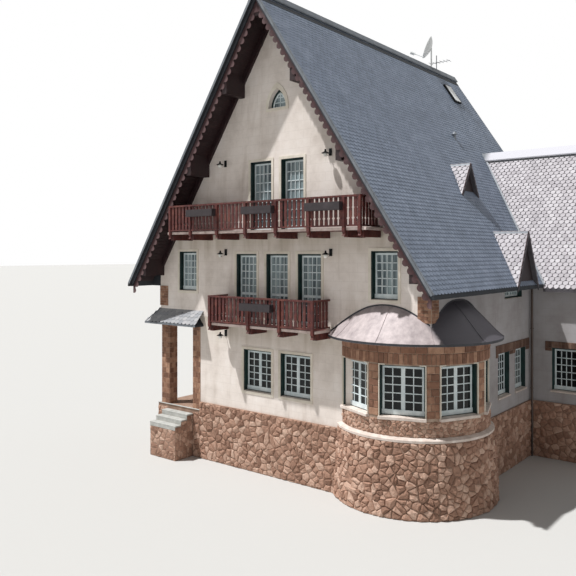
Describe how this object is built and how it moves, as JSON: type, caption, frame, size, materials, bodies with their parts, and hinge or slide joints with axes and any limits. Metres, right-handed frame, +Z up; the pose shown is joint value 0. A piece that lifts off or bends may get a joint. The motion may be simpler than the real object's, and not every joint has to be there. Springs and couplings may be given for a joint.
{
  "type": "alpine chalet",
  "caption": "Tall slate-roofed alpine chalet with a steep gable, timber balconies, a round corner bay, an open porch and a lower side wing.",
  "frame": {"origin": "on the ground under the gable axis, in the plane of the front stucco wall, on the bottom face of the front plinth", "axes": "+Z up, +X along the front towards the round bay and the wing, +Y into the house"},
  "size_m": [18.76, 15.74, 18.2886],
  "materials": {
    "stucco": "rough lime render",
    "rubble": "squared rubble in lime mortar",
    "brick": "brown brick with light joints",
    "cut_stone": "sawn",
    "floor_boards": "planed boards",
    "main_slate": "split slate",
    "pale_slate": "split slate, weathered",
    "roof_sheet": "weathered sheet",
    "dark_timber": "stained",
    "weathered_timber": "stained, weathered",
    "box_timber": "stained",
    "door_timber": "stained",
    "frame_paint": "painted",
    "sash_paint": "painted",
    "surround_paint": "painted render",
    "window_glass": "clear",
    "iron": "painted black",
    "light_metal": "matt",
    "zinc": "dull",
    "brown_metal": "satin"
  },
  "bodies": {
    "root": {"rubble_plinth": "rubble", "front_wall_ground": "stucco", "front_wall_first": "stucco", "front_gable": "stucco", "rear_wall_lower": "stucco", "rear_gable": "stucco", "left_wall": "stucco", "right_wall": "stucco", "wing_front_wall": "stucco", "wing_end_wall": "stucco", "ground_floor": "floor_boards", "first_floor": "floor_boards", "second_floor": "floor_boards", "attic_floor": "floor_boards", "main_roof_left": "main_slate", "main_roof_right": "main_slate", "wing_roof": "pale_slate", "ridge_caps": "main_slate", "bargeboards": "dark_timber", "purlins": "dark_timber", "upper_balcony_deck": "weathered_timber", "upper_balcony_railing": "weathered_timber", "lower_balcony_deck": "weathered_timber", "lower_balcony_railing": "weathered_timber", "flower_boxes": "box_timber", "bay_base": "rubble", "bay_string_course": "cut_stone", "bay_sill_wall": "brick", "bay_piers": "brick", "bay_head_wall": "brick", "bay_roof": "roof_sheet", "porch_floor": "rubble", "porch_steps": "cut_stone", "porch_piers": "brick", "porch_walls": "stucco", "porch_roof": "main_slate", "entrance_door": "door_timber", "dormer_roofs": "pale_slate", "dormer_gables": "dark_timber", "window_surrounds": "surround_paint", "window_frames": "frame_paint", "window_sashes": "sash_paint", "window_glass": "window_glass", "brick_dressings": "brick", "wall_lamps": "iron", "skylight": "iron", "roof_vent": "zinc", "satellite_dish": "light_metal", "aerial": "zinc", "downpipe": "brown_metal"}
  },
  "joints": []
}
